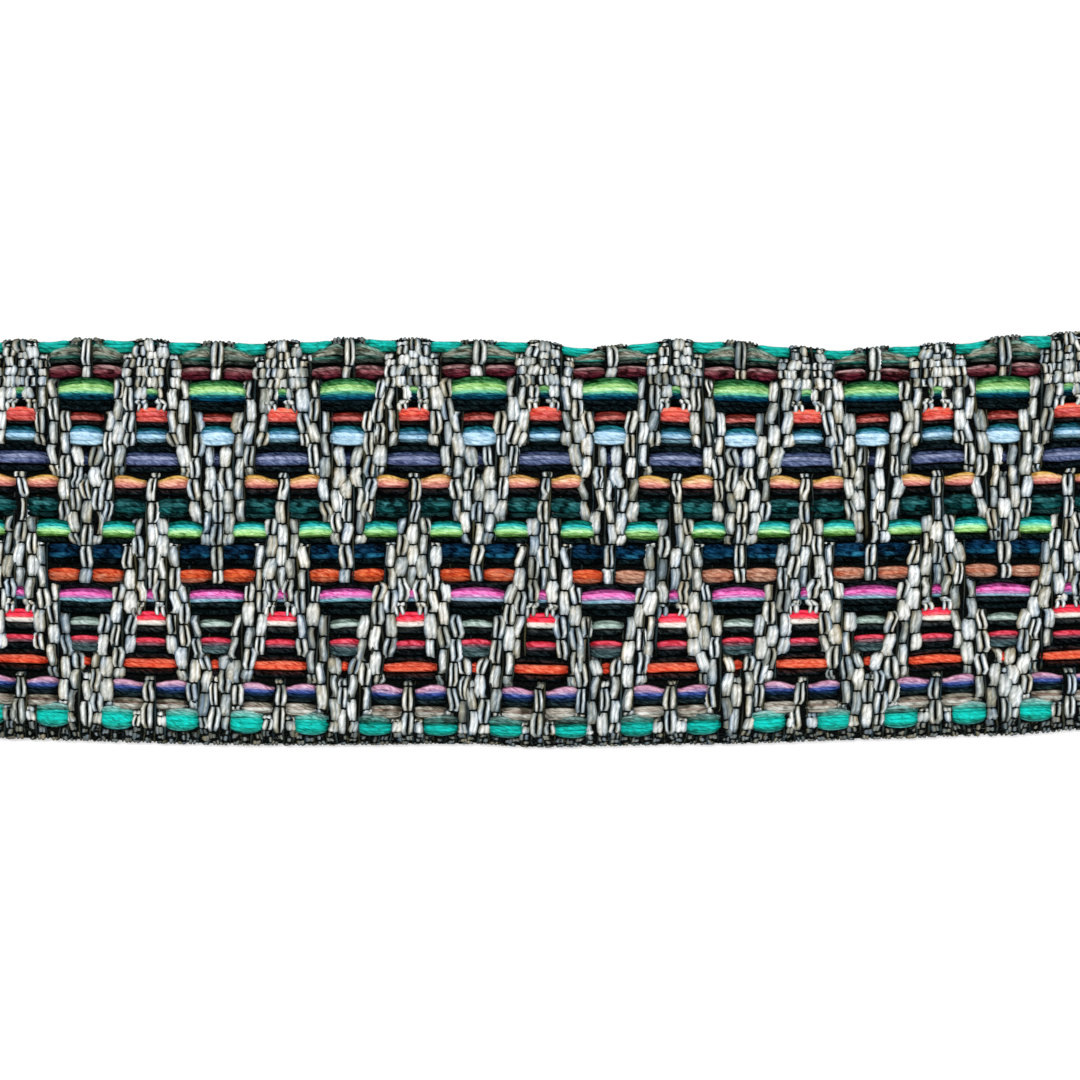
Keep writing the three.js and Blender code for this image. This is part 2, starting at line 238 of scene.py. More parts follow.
# Colour rows from the upper selvedge down: what each covers of the cream yarns, and its strands as
# (colour, distance from the selvedge at a float's middle, half width, how much lower its ends are).
# A peek is one more column where part of the row shows between two cream grains, which crowd in on it. Its
# level is the painted shade it lies in.
# Tilts slant the strands of a float towards the point of its V, and skew moves its crown that way. Lift is
# how much higher the row lies, inset how many columns its floats stop short of the next grains, mottle how
# uneven its light is, and edgeLevel the light on its upper side. Turn says where along the strap its dyes
# go over from the first of their two colours (-0.5) to the second (0.5).
colourRows = (
    {"name": "upperTeal", "draft": "spread", "cover": (0.0, 2.0), "tilts": (-0.2, 0.2, 0.2),
        "edgeLevel": 0.8, "strands": (
            ("aquaTeal", 0.34, 0.36, 0.05), ("aquaTeal", 0.92, 0.38, 0.0), ("teal", 1.48, 0.34, 0.0))},
    {"name": "upperTaupe", "draft": "shoulderSix", "cover": (0.1, 3.1), "tilts": (1.2, 0.9, 0.5, 0.1, 0.0),
        "lift": 0.2, "mottle": 0.25, "strands": (
            ("taupe", 1.30, 0.28, 0.05), ("warmTaupe", 1.66, 0.28, 0.05), ("paleTaupe", 1.98, 0.26, 0.05),
            ("mossTeal", 2.30, 0.22, 0.05), ("charcoal", 2.78, 0.28, 0.05))},
    {"name": "maroonRow", "draft": "shoulderSix", "cover": (3.1, 5.0), "tilts": (0.3, 0.2, 0.1),
        "mottle": 0.3, "strands": (
            ("pinkGrey", 3.54, 0.27, 0.12), ("maroon", 4.05, 0.32, 0.0),
            ("darkMaroon", 4.58, 0.30, -0.15))},
    {"name": "limeRow", "draft": "wideSix", "cover": (4.95, 8.9), "inset": -0.04, "strands": (
        ("bottleGreen", 5.02, 0.30, 0.50), ("leafGreen", 5.40, 0.30, 0.40), ("lime", 5.78, 0.32, 0.30),
        ("paleLime", 6.20, 0.32, 0.22), ("mint", 6.56, 0.27, 0.12), ("peacock", 6.90, 0.26, 0.02),
        ("deepBlue", 7.26, 0.28, -0.04), ("black", 7.84, 0.40, 0.0), ("black", 8.50, 0.40, 0.0)),
        "peek": {
            "column": 0, "cover": (5.9, 8.25), "strands": (3, 4, 5, 6, 7), "crowd": 0.34, "level": 0.55}},
    {"name": "redRow", "draft": "pointSix", "cover": (8.9, 10.6), "inset": 0.11, "strands": (
        ("darkRed", 9.26, 0.26, 0.16), ("red", 9.76, 0.34, 0.06), ("black", 10.36, 0.30, 0.1))},
    {"name": "coralRow", "draft": "pointZero", "cover": (8.15, 10.55), "strands": (
        ("paleCoral", 8.72, 0.38, 0.15), ("coral", 9.26, 0.34, 0.05), ("duskCoral", 9.84, 0.37, 0.0),
        ("black", 10.42, 0.28, 0.0))},
    {"name": "lightBlueRow", "draft": "pointSix", "cover": (10.6, 13.3), "inset": 0.08, "strands": (
        ("darkTeal", 10.94, 0.32, 0.30), ("steelBlue", 11.34, 0.26, 0.20), ("paleBlue", 11.78, 0.36, 0.10),
        ("skyBlue", 12.28, 0.36, 0.0), ("skyBlue", 12.78, 0.34, -0.15))},
    {"name": "steelBlueRow", "draft": "pointZero", "cover": (10.55, 13.0), "strands": (
        ("inkTeal", 11.12, 0.32, 0.10), ("deepSteel", 11.54, 0.26, 0.05), ("dullBlue", 12.00, 0.36, 0.02),
        ("greyBlue", 12.50, 0.26, 0.0), ("black", 12.94, 0.30, 0.0))},
    {"name": "purpleRow", "draft": "wideZero", "cover": (13.0, 16.5), "strands": (
        ("black", 13.50, 0.46, 0.10), ("inkBlue", 14.16, 0.28, 0.14), ("lavender", 14.66, 0.34, 0.12),
        ("dusk", 15.26, 0.38, 0.02), ("black", 16.08, 0.44, 0.0)),
        "peek": {
            "column": 6, "cover": (13.1, 17.4), "strands": (0, 1, 2, 3, 4), "crowd": 0.38, "level": 0.5}},
    {"name": "apricotRow", "draft": "shoulderZero", "cover": (16.5, 19.3), "tilts": (-0.1,) * 5,
        "skew": 0.35, "strands": (
            ("ochre", 17.06, 0.28, 0.36), ("apricot", 17.48, 0.32, 0.22), ("paleSalmon", 17.90, 0.30, 0.06),
            ("brick", 18.24, 0.26, -0.06), ("black", 18.92, 0.44, 0.0))},
    {"name": "darkGreenRow", "draft": "shoulderZero", "cover": (19.3, 22.2), "mottle": 0.4, "strands": (
        ("darkPine", 19.96, 0.34, 0.15), ("pine", 20.48, 0.38, 0.05),
        ("deepPine", 21.18, 0.44, -0.1), ("pineBlack", 21.92, 0.34, 0.0))},
    {"name": "cyanRow", "draft": "spread", "cover": (22.2, 25.4), "inset": 0.02, "strands": (
        ("deepTeal", 22.74, 0.28, 0.26), ("cyan", 23.12, 0.28, 0.23), ("seaMint", 23.46, 0.27, 0.20),
        ("frostLime", 23.80, 0.28, 0.16), ("lime", 24.14, 0.26, 0.12), ("olive", 24.44, 0.22, 0.08),
        ("black", 25.02, 0.42, 0.0))},
    {"name": "navyRow", "draft": "shoulderSix", "cover": (25.4, 28.1), "mottle": 0.5, "strands": (
        ("navy", 25.78, 0.38, 0.10), ("navy", 26.34, 0.40, 0.05), ("oceanBlue", 26.92, 0.38, -0.05),
        ("black", 27.62, 0.40, 0.0))},
    {"name": "rustRow", "draft": "shoulderSix", "cover": (28.1, 30.4),
        "turn": ((5.0, -0.5), (11.0, 0.5)), "strands": (
            ("rust", 28.88, 0.36, 0.14), ("deepRust", 29.40, 0.36, 0.02), ("brownRust", 29.94, 0.34, -0.12),
            ("black", 30.50, 0.26, 0.0))},
    {"name": "pinkRow", "draft": "wideSix", "cover": (30.4, 34.3), "inset": 0.08, "strands": (
        ("black", 30.64, 0.34, 0.40), ("plumPink", 31.26, 0.28, 0.30), ("pink", 31.66, 0.32, 0.20),
        ("lilacPink", 32.06, 0.26, 0.12), ("mistBlue", 32.42, 0.26, 0.06), ("black", 33.06, 0.40, 0.0),
        ("black", 33.86, 0.44, 0.0)),
        "peek": {
            "column": 0, "cover": (31.0, 33.4), "strands": (1, 2, 3, 4, 5), "crowd": 0.34, "level": 0.66}},
    {"name": "greyGreenRow", "draft": "pointSix", "cover": (34.3, 36.7), "strands": (
        ("greyPine", 34.86, 0.26, 0.22), ("greyGreen", 35.30, 0.36, 0.10),
        ("black", 36.14, 0.44, 0.0))},
    {"name": "redWhiteRow", "draft": "pointZero", "cover": (33.7, 36.7), "strands": (
        ("raspberry", 34.14, 0.30, 0.10), ("brightRed", 34.60, 0.30, 0.05),
        ("creamWhite", 35.24, 0.38, 0.0), ("black", 36.08, 0.46, 0.0))},
    {"name": "crimsonRow", "draft": "pointSix", "cover": (36.7, 39.3), "strands": (
        ("crimson", 37.28, 0.34, 0.15), ("mauve", 37.78, 0.24, 0.02), ("greyTeal", 38.24, 0.34, -0.05),
        ("greyTeal", 38.78, 0.32, -0.15))},
    {"name": "crimsonZeroRow", "draft": "pointZero", "cover": (36.7, 39.0), "strands": (
        ("crimson", 37.44, 0.38, 0.10), ("mauve", 37.96, 0.22, 0.05), ("black", 38.56, 0.42, 0.0))},
    {"name": "orangeRow", "draft": "wideZero", "cover": (39.0, 42.1), "strands": (
        ("black", 39.30, 0.36, 0.10), ("paleOrange", 40.02, 0.34, 0.10), ("orange", 40.52, 0.34, 0.0),
        ("black", 41.38, 0.48, -0.05)),
        "peek": {"column": 6, "cover": (39.5, 41.9), "strands": (0, 1, 2, 3), "crowd": 0.32, "level": 0.7}},
    {"name": "roseRow", "draft": "shoulderZero", "cover": (42.1, 44.9), "tilts": (-0.1,) * 5, "skew": 0.3,
        "strands": (
            ("rose", 42.68, 0.36, 0.32), ("lilac", 43.08, 0.24, 0.14), ("royalBlue", 43.44, 0.28, -0.02),
            ("nightBlue", 43.84, 0.26, -0.08), ("slateBlack", 44.38, 0.32, -0.1))},
    {"name": "lowerTaupe", "draft": "shoulderZero", "cover": (44.7, 46.5), "lift": 0.12,
        "mottle": 0.3, "strands": (
            ("stone", 44.98, 0.28, 0.10), ("redBrown", 45.30, 0.18, 0.05), ("creamStone", 45.64, 0.30, 0.0),
            ("stone", 46.00, 0.18, -0.05))},
    {"name": "lowerTeal", "draft": "spread", "cover": (45.8, 48.85), "lift": 0.08, "inset": 0.06,
        "turn": ((-28.0, -0.5), (-23.0, 0.4), (20.0, 0.4), (26.0, -0.5)), "strands": (
            ("mistAqua", 46.00, 0.26, 0.25), ("paleAqua", 46.38, 0.28, 0.10),
            ("deepTurquoise", 46.80, 0.20, 0.02), ("turquoise", 47.16, 0.30, 0.0),
            ("turquoise", 47.66, 0.34, -0.10), ("teal", 48.14, 0.30, -0.28),
            ("mistGrey", 48.50, 0.14, -0.35))},
)

# Over the upper edge of two rows the ends of the cream yarns stand like teeth
teeth = {
    "columns": (1, 11),
    "spans": ((7.88, 8.68), (33.3, 34.22)),
    "margins": (0.15, 0.03),  # rings this far above and below a span are still a tooth's
    "longest": 1.3,  # a longer grain is no tooth
    "half": 0.27,
    "reach": 0.37,  # of each yarn from the middle of its pair
    "inward": 0.1,  # towards the middle of the float
    "lift": 0.65,
    "level": 1.15,
    "tuck": 0.35,  # how much deeper the strand below them lies
}

# Fine black threads run along the strap and tie the cream yarns down, over odd and even columns in turn,
# each set from the odd ones. The first few are closer together, short ones help at the points of the Vs
# and over the teeth, and thicker ones close the selvedges.
evenTies = {"first": 7.34, "pitch": 1.408, "count": 29}
evenLines = tuple(evenTies["first"] + evenTies["pitch"] * step for step in range(evenTies["count"]))
tieSets = [
    {"lines": (2.2, 3.4, 4.5, 5.85) + evenLines, "jitter": 0.11},
    {"lines": (48.17,), "jitter": 0.11},
    {"lines": (0.85, 1.45, 3.35, 2.4, 5.9, 4.6), "jitter": 0.05, "columns": (10, 11, 0, 1, 2)},
    {"lines": (0.3, 48.62, 49.02, 49.4, 49.7), "jitter": 0.04, "thick": 1.5},
]
tieSets += [{"lines": span[:1], "jitter": 0.05, "columns": teeth["columns"]} for span in teeth["spans"]]
ties = [
    {"at": line, "odd": i % 2 == 0, **tieSet}
    for tieSet in tieSets for i, line in enumerate(tieSet["lines"])]

# How far each tie sits above or below its line at every column, so that no two grains are alike
tieRng = np.random.default_rng(5)
tieShifts = {tie["at"]: tieRng.normal(0, tie["jitter"], 2 * strap["reach"] + 1) for tie in ties}


def tieIsOver(tie, columnClass):
    if "columns" in tie and columnClass not in tie["columns"]:
        return False
    return (columnClass % 2 == 1) == tie["odd"]


# Where the teeth over the upper edge of a row end, if it has any
def teethEnd(row):
    return next((end for start, end in teeth["spans"] if start < row["cover"][0] < end), None)


def coversOf(row, columnClass):
    peek = row.get("peek", {"column": None})
    if columnClass in drafts[row["draft"]]:
        low, high = row["cover"]
        if columnClass in teeth["columns"]:
            low = teethEnd(row) or low
        return [(low, high)]
    return [peek["cover"]] if columnClass == peek["column"] else []


def isCovered(columnClass, fromTop):
    return any(
        low <= fromTop <= high for row in colourRows for low, high in coversOf(row, columnClass))


charting = {
    "leastGap": 0.35,  # a shorter gap between two covers is covered too
    "tieClear": 0.2,  # a tie nearer than this to a cover doesn't cut the grain
}


# What a cream pair does from selvedge to selvedge: (start, end, whether it is on the face)
def columnSegments(columnClass):
    covers = sorted(cover for row in colourRows for cover in coversOf(row, columnClass))
    merged = []
    for low, high in covers:
        if merged and low <= merged[-1][1] + charting["leastGap"]:
            merged[-1][1] = max(merged[-1][1], high)
        else:
            merged.append([low, high])
    cutLines = sorted(tie["at"] for tie in ties if tieIsOver(tie, columnClass))
    clear = charting["tieClear"]
    segments = []
    at = 0.0
    for low, high in merged + [[strap["width"], strap["width"]]]:
        points = [at] + [line for line in cutLines if at + clear < line < low - clear] + [low]
        if low > at:
            segments += [(a, b, True) for a, b in zip(points, points[1:])]
        if high > low:
            segments.append((low, high, False))
        at = high
    return segments


segmentsOf = [columnSegments(c) for c in range(strap["columnsPerRepeat"])]
print("weave charted:", sum(len(s) for s in segmentsOf), "segments in a repeat")


def ringAngles(sides):
    return np.arange(sides) / sides * 2 * math.pi


# Rings of one tube around its path: an ellipse that stands square to the way the yarn runs
def tubeRings(path, sides):
    points = path["points"]
    tangent = np.gradient(points, axis=0)
    tangent /= np.linalg.norm(tangent, axis=1)[:, None]
    side = np.stack([-tangent[:, 1], tangent[:, 0], np.zeros(len(points))], axis=1)
    side /= np.maximum(np.linalg.norm(side, axis=1), 1e-6)[:, None]
    up = np.cross(tangent, side)
    angle = ringAngles(sides)
    wide = side[:, None, :] * (path["half"][:, None] * np.cos(angle))[:, :, None]
    tall = up[:, None, :] * (path["thick"][:, None] * np.sin(angle))[:, :, None]
    return points[:, None, :] + wide + tall


# Faces of one tube, and at their corners the millimetres along it and the turns round it
def tubeSkin(path, sides):
    count = len(path["points"])
    ring = np.arange(count - 1)[:, None] * sides
    corner = np.arange(sides)[None, :]
    follow = (corner + 1) % sides
    quads = np.stack([ring + corner, ring + follow, ring + sides + follow, ring + sides + corner], axis=2)
    step = np.linalg.norm(np.diff(path["points"], axis=0), axis=1)
    length = np.concatenate([[0], np.cumsum(step)])
    u = np.stack([length[:-1], length[:-1], length[1:], length[1:]], axis=1)
    u = np.repeat(u[:, None, :], sides, axis=1)
    v = np.stack([corner[0], corner[0] + 1, corner[0] + 1, corner[0]], axis=1) / sides
    v = np.repeat(v[None, :, :], count - 1, axis=0)
    return quads.reshape(-1, 4), np.stack([u, v], axis=3).reshape(-1, 2)


def endCaps(paths, sides):
    caps = []
    first = 0
    for path in paths:
        last = first + (len(path["points"]) - 1) * sides
        caps.append(first + np.arange(sides)[::-1])
        caps.append(last + np.arange(sides))
        first = last + sides
    return np.array(caps)


fibreShift = 7.3  # millimetres that set each yarn apart from the one before in the fibre pattern
capPlace = 0.25  # where all cut ends lie in it


# One mesh from many tubes. Each path has points, half and thick for every ring, and for every corner of it
# a colour and a tone that also holds painted light and shade.
def makeYarns(name, yarn, paths, material):
    sides = yarn["sides"]
    quads, uvs = [], []
    first = 0
    for number, path in enumerate(paths, 1):
        tubeQuads, tubeUvs = tubeSkin(path, sides)
        quads.append(first + tubeQuads)
        uvs.append(tubeUvs + (number * fibreShift, 0))
        first += len(path["points"]) * sides
    points = np.concatenate([tubeRings(path, sides).reshape(-1, 3) for path in paths])
    x, y = placeOnStrap(points[:, 0], -points[:, 1])
    points = np.stack([x, y, points[:, 2]], axis=1) * mm
    quads = np.concatenate(quads)
    ends = endCaps(paths, sides)
    uvs = np.concatenate(uvs + [np.full((ends.size, 2), capPlace)])
    paintedShadesAndTones = np.concatenate([path["paintedShadeAndTone"].ravel() for path in paths])
    colours = np.concatenate([path["colour"].ravel() for path in paths])
    corners = np.concatenate([quads.ravel(), ends.ravel()])
    starts = np.concatenate([np.arange(len(quads)) * 4, quads.size + np.arange(len(ends)) * sides])
    mesh = bpy.data.meshes.new(name)
    mesh.vertices.add(len(points))
    mesh.vertices.foreach_set("co", points.astype(np.float32).ravel())
    mesh.loops.add(len(corners))
    mesh.loops.foreach_set("vertex_index", corners.astype(np.int32))
    mesh.polygons.add(len(starts))
    mesh.polygons.foreach_set("loop_start", starts.astype(np.int32))
    mesh.update(calc_edges=True)
    mesh.polygons.foreach_set("use_smooth", np.ones(len(starts), bool))
    layer = mesh.uv_layers.new(name="yarnMap")
    layer.uv.foreach_set("vector", uvs.astype(np.float32).ravel())
    paintedShadeAndTone = mesh.attributes.new("paintedShadeAndTone", "FLOAT", "POINT")
    paintedShadeAndTone.data.foreach_set("value", paintedShadesAndTones.astype(np.float32))
    colour = mesh.attributes.new("yarnColour", "FLOAT_COLOR", "POINT")
    colour.data.foreach_set("color", colours.astype(np.float32))
    mesh.materials.append(material)
    mesh.validate()
    piece = bpy.data.objects.new(name, mesh)
    bpy.context.scene.collection.objects.link(piece)
    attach(piece, bodyName)
    triangles = sum(len(p.vertices) - 2 for p in mesh.polygons)
    print(name, "has", len(paths), "yarns and", triangles, "triangles")
    return piece


# Smooth random values for the rings of a yarn, with one knot every so many rings
def wander(rng, count, every, amount):
    knots = rng.normal(0, amount, max(count // every, 1) + 2)
    return np.interp(np.arange(count) / every, np.arange(len(knots)), knots)


# One random value for each grain, given to all its rings
def perGrain(rng, segment, mean, amount):
    return rng.normal(mean, amount, segment.max() + 1)[segment]


# Thick cream yarns run across the strap in pairs, in short grains between the ties
creamYarn = {
    "sides": 8,
    "faceSteps": (0.0, 0.1, 0.26, 0.5, 0.74, 0.9),  # rings of a grain, as shares of its length
    "underSteps": (0.06, 0.3, 0.7, 0.94),
    "cutShort": 0.05,  # at the lower selvedge
    "edgeClear": 0.1,  # no ring lies nearer to a selvedge
    "warm": "#E9E8E3",
    "cool": "#E3E7E9",
    "faceHeight": 1.52,
    "tieHeight": 1.06,
    "crossHeight": 0.92,
    "underHeight": 0.36,
    "thick": 0.27,
    "endThick": 0.7,  # what is left of that at the ties
    "underThick": 0.22,
    "leastHalf": 0.12,
    # How the two yarns of a pair may lie in a grain: the width of the pair, and for the yarn that leads and
    # for the other its half width and its reach from the pair's middle, as shares of that width, and the
    # light on its inner side. Close ones read as one yarn, and of rolled ones the first covers the other.
    "lies": {
        "close": {"width": 1.38, "half": (0.30, 0.30), "reach": (0.20, 0.20), "inner": (0.65, 0.65)},
        "rolled": {"width": 1.04, "half": (0.42, 0.26), "reach": (0.06, 0.26), "inner": (0.30, 0.08)},
        "apart": {"width": 1.44, "half": (0.215, 0.215), "reach": (0.285, 0.285), "inner": (0.08, 0.08)},
    },
    "closeShare": 0.42,  # of all grains
    "rolledShare": 0.24,
    "rolledDrop": 0.24,
    "rolledLevel": 0.5,  # light on the covered yarn
    "sunkShare": 0.08,  # one of two lies deep, which leaves a dark gap
    "sunkDrop": 0.34,
    "tieHalf": 0.247,
    "tieReach": 0.9,  # as a share of tieHalf
    "fullLength": 1.5,  # shorter grains are slimmer and lower
    "leastSize": 0.4,
    "bluntness": 4.5,  # grains keep their width almost to the ties
    "archPower": 3,  # and their height not quite so far
    "lean": 0.46,
    "leanLength": 2.6,  # shorter grains lean less
    "leanPower": 4,
    "leastLean": 0.15,
    "slopeFullness": 1.08,  # pairs on the slopes of the Vs lie fuller than those at the points
    "usualHalf": 0.30,
    "widthLift": 0.2,  # how much higher a yarn lies for each millimetre over that half width
    "crowd": 0.13,  # how far grains move over the ends of the floats beside them
    "crowdFade": 0.6,
    # Beyond these lines the yarns are pulled thin and darkened by painted shade
    "selvedge": (0.5, 47.9),
    "selvedgeFade": 0.5,
    "selvedgeThin": 0.32,
    "selvedgeShade": 0.62,
    # Where a pair lies alone between two floats, its yarns spread apart: column, lines and width
    "parted": ((6, 0.0, 3.4, 1.5), (6, 25.4, 28.6, 1.75), (0, 16.5, 19.2, 1.35), (0, 42.4, 48.2, 1.45)),
    # Where a pair is drawn down into the cloth it lies thin and in painted shade: column, lines and what is
    # left of it
    "shadedHollows": ((5, 43.0, 47.6, 0.66), (5, 23.6, 25.4, 0.66), (4, 19.6, 21.0, 0.7), (3, 40.8, 42.0, 0.62),
                (0, 42.1, 43.4, 0.7), (0, 29.5, 31.0, 0.75), (11, 26.6, 30.6, 0.85), (4, 43.2, 45.0, 0.86)),
    "hollowThin": 0.6,  # how much of that goes into its width
    "innerFrom": 0.1,  # cosine from which a side faces the pair's middle
    "outerSide": 0.2,  # light on the other side
    "tieLight": 0.15,
    "lightPower": 3,
    "shortLight": (0.75, 0.15),  # for a grain of no length, and more for each millimetre
    "shortLightLimits": (0.8, 1.0),
    # Light and warmth of a usual grain, and how much grains differ: standard deviations, in millimetres or
    # as shares. A yarn also wavers along its length, given as rings from knot to knot and a deviation.
    "level": 0.86,
    "warmth": 0.45,
    "vary": {
        "width": 0.13, "taper": 0.14, "column": 0.08, "place": 0.16, "lean": 0.5, "twist": 0.05,
        "split": 0.09, "level": 0.15, "warmth": 0.18, "sideWarmth": 0.35, "ringAlong": 0.015,
        "ringDown": 0.03,
    },
    "waver": {"place": (8, 0.19), "level": (2, 0.10), "warmth": (2, 0.25)},
    "widthLimits": (0.72, 1.22),
    "levelLimits": (0.45, 1.0),
    "ringLevelLimits": (0.6, 1.2),
    "warmthLimits": (-0.3, 1.3),
}

# Fine black threads run between the pairs, brownish here and bluish there, tints that also stand for the
# tinted shade between the pairs
blackCross = {
    "sides": 4,
    "steps": (0.0, 0.35, 0.65),
    "radius": 0.135,
    "radiusLimits": (0.5, 1.6),
    "faceHeight": 1.50,
    "tieHeight": 1.28,
    "underHeight": 0.62,
    "fullLength": 1.5,
    "leastSize": 0.5,
    "bluntness": 2.4,
    "olive": "#48452F",
    "slate": "#2C4048",
    "level": (0.45, 0.3),  # the least for a thread, and how much more it may be
    "waver": {
        "place": (3, 0.10), "radius": (4, 0.3), "dye": (3, 0.4), "level": (2, 0.3), "height": (4, 0.04)},
}


# Rings of a crosswise yarn in one column: where each is, in which grain, whether that is on the face, how
# far along the grain, and how long the grain is
def columnRings(column, faceSteps, underSteps):
    rows = []
    segments = segmentsOf[column % strap["columnsPerRepeat"]]
    for index, (start, end, onFace) in enumerate(segments):
        start, end = (
            at + (tieShifts[at][column + strap["reach"]] if at in tieShifts else 0) for at in (start, end))
        for step in (faceSteps if onFace else underSteps):
            rows.append((start + (end - start) * step, index, onFace, step, end - start))
    start, end, onFace = segments[-1]
    rows.append((strap["width"] - creamYarn["cutShort"], len(segments) - 1, onFace, 1.0, end - start))
    return [np.array(c) for c in zip(*rows)]


# Grains lean towards the point of the V that they belong to
def leanOf(columnClass):
    halfRepeat = strap["columnsPerRepeat"] // 2
    if columnClass in (0, halfRepeat):
        return 0
    return 1 if columnClass < halfRepeat else -1


# How far the grains of a column crowd in on the floats and peeks beside it, at each place down the strap
def crowdAt(columnClass, fromTop):
    shift = np.zeros(len(fromTop))
    for row in colourRows:
        peek = row.get("peek", {"column": None})
        for towards in (-1, 1):
            beside = (columnClass + towards) % strap["columnsPerRepeat"]
            if beside == peek["column"]:
                (first, last), amount = peek["cover"], peek["crowd"]
            elif beside in drafts[row["draft"]] and columnClass not in drafts[row["draft"]]:
                (first, last), amount = row["cover"], creamYarn["crowd"]
            else:
                continue
            inside = np.minimum(fromTop - first, last - fromTop)
            shift += towards * amount * np.clip(inside / creamYarn["crowdFade"] + 0.5, 0, 1)
    return shift


# What marked stretches of a column are given. A mark is (column, first line, last line, value).
def markedValue(marks, columnClass, fromTop, usual):
    value = np.full(len(fromTop), usual)
    for markedColumn, low, high, marked in marks:
        value[(columnClass == markedColumn) & (fromTop > low) & (fromTop < high)] = marked
    return value


def toothRings(columnClass, fromTop, onFace, length):
    above, below = teeth["margins"]
    inSpan = [(fromTop > start - above) & (fromTop < end + below) for start, end in teeth["spans"]]
    return np.any(inSpan, axis=0) & onFace & (length < teeth["longest"]) & (columnClass in teeth["columns"])


# The grains of one cream pair, with a value for each ring of its two yarns
def pairGrains(column, rng):
    columnClass = column % strap["columnsPerRepeat"]
    vary = creamYarn["vary"]
    lies = creamYarn["lies"]
    fromTop, segment, onFace, step, length = columnRings(
        column, creamYarn["faceSteps"], creamYarn["underSteps"])
    fromMiddle = np.abs(2 * step - 1)
    fullness = 1 - fromMiddle ** creamYarn["bluntness"]
    size = np.clip(length / creamYarn["fullLength"], creamYarn["leastSize"], 1.0)
    draw = rng.random(segment.max() + 1)[segment]
    leading = rng.choice((-1, 1), segment.max() + 1)[segment]
    tooth = toothRings(columnClass, fromTop, onFace, length)
    spread = markedValue(creamYarn["parted"], columnClass, fromTop, 0.0)
    spread[tooth] = lies["close"]["width"]
    parted = spread > 0
    close = (draw < creamYarn["closeShare"]) & ~parted
    rolled = (draw < creamYarn["closeShare"] + creamYarn["rolledShare"]) & ~close & ~parted
    hollow = markedValue(creamYarn["shadedHollows"], columnClass, fromTop, 1.0)
    first, last = creamYarn["selvedge"]
    edge = np.clip(np.maximum(first - fromTop, fromTop - last) / creamYarn["selvedgeFade"], 0, 1)
    width = np.select([parted, close, rolled], [
        spread, lies["close"]["width"], lies["rolled"]["width"]], lies["apart"]["width"])
    if leanOf(columnClass) != 0:
        width = width * creamYarn["slopeFullness"]
    width = width * (1 - creamYarn["hollowThin"] + creamYarn["hollowThin"] * hollow)
    width = width * np.clip(perGrain(rng, segment, 1.0, vary["width"]), *creamYarn["widthLimits"])
    width = width * (1 - creamYarn["selvedgeThin"] * edge)
    width = width * (1 + perGrain(rng, segment, 0, vary["taper"]) * (step - 0.5))
    drift = rng.normal(0, vary["column"]) + wander(rng, len(fromTop), *creamYarn["waver"]["place"])
    drift = drift + perGrain(rng, segment, 0, vary["place"]) * fullness
    lean = creamYarn["lean"] * (leanOf(columnClass) + perGrain(rng, segment, 0, vary["lean"]))
    lean = lean * np.clip(length / creamYarn["leanLength"], creamYarn["leastLean"], 1.0) * ~tooth
    drift = drift + lean * (step - 0.5) * (1 - fromMiddle ** creamYarn["leanPower"])
    drift = drift + np.where(tooth, -leanOf(columnClass) * teeth["inward"], crowdAt(columnClass, fromTop))
    twist = perGrain(rng, segment, 0, vary["twist"])
    split = perGrain(rng, segment, 0, vary["split"])
    level = perGrain(rng, segment, creamYarn["level"], vary["level"])
    return {
        "fromTop": fromTop, "onFace": onFace, "step": step, "length": length, "fullness": fullness,
        "size": size, "arch": (1 - fromMiddle ** creamYarn["archPower"]) * size,
        "close": close, "rolled": rolled, "sunk": (draw > 1 - creamYarn["sunkShare"]) & ~parted,
        "leading": leading, "tooth": tooth, "hollow": hollow, "edge": edge, "width": width, "drift": drift,
        "twist": twist, "split": split, "level": np.clip(level, *creamYarn["levelLimits"]),
        "warmth": perGrain(rng, segment, creamYarn["warmth"], vary["warmth"]),
        "sideWarmth": perGrain(rng, segment, 0, vary["sideWarmth"]),
    }


# What a yarn takes from the way its pair lies
def fromLie(key, grains, leads):
    close, rolled, apart = (
        np.where(leads, *creamYarn["lies"][lie][key]) for lie in ("close", "rolled", "apart"))
    return np.select([grains["close"], grains["rolled"]], [close, rolled], apart)


# Half width of a yarn and its place beside the pair's middle
def creamOutline(grains, hand, leads):
    split, fullness, tooth = grains["split"], grains["fullness"], grains["tooth"]
    free = ~grains["rolled"]
    half = grains["width"] * fromLie("half", grains, leads) - hand * split / 2 * free
    reach = hand * grains["width"] * fromLie("reach", grains, leads) + split / 2 * free
    tieHalf = creamYarn["tieHalf"]
    tieReach = hand * tieHalf * creamYarn["tieReach"]
    half = tieHalf + (half - tieHalf) * fullness * grains["size"] ** 0.5
    reach = tieReach + (reach - tieReach) * fullness * grains["size"] ** 0.5
    half = np.where(tooth, teeth["half"] * (1 - 2 * hand * split), half)
    reach = np.where(tooth, hand * teeth["reach"] + split / 2, reach)
    return half, reach


def creamHeight(grains, hand, leads, half):
    fullness = grains["fullness"]
    face = creamYarn["tieHeight"] + (creamYarn["faceHeight"] - creamYarn["tieHeight"]) * grains["arch"]
    rise = fullness * np.clip(2 * grains["step"], 0, 1)
    face = face + teeth["lift"] * (1 + 2 * hand * grains["split"]) * rise * grains["tooth"]
    face = face + hand * grains["twist"] * fullness
    face = face + creamYarn["widthLift"] * (half - creamYarn["usualHalf"])
    face = face - creamYarn["sunkDrop"] * fullness * (grains["sunk"] & leads)
    face = face - creamYarn["rolledDrop"] * fullness * (grains["rolled"] & ~leads)
    under = creamYarn["crossHeight"] + (creamYarn["underHeight"] - creamYarn["crossHeight"]) * fullness
    return np.where(grains["onFace"], face, under)
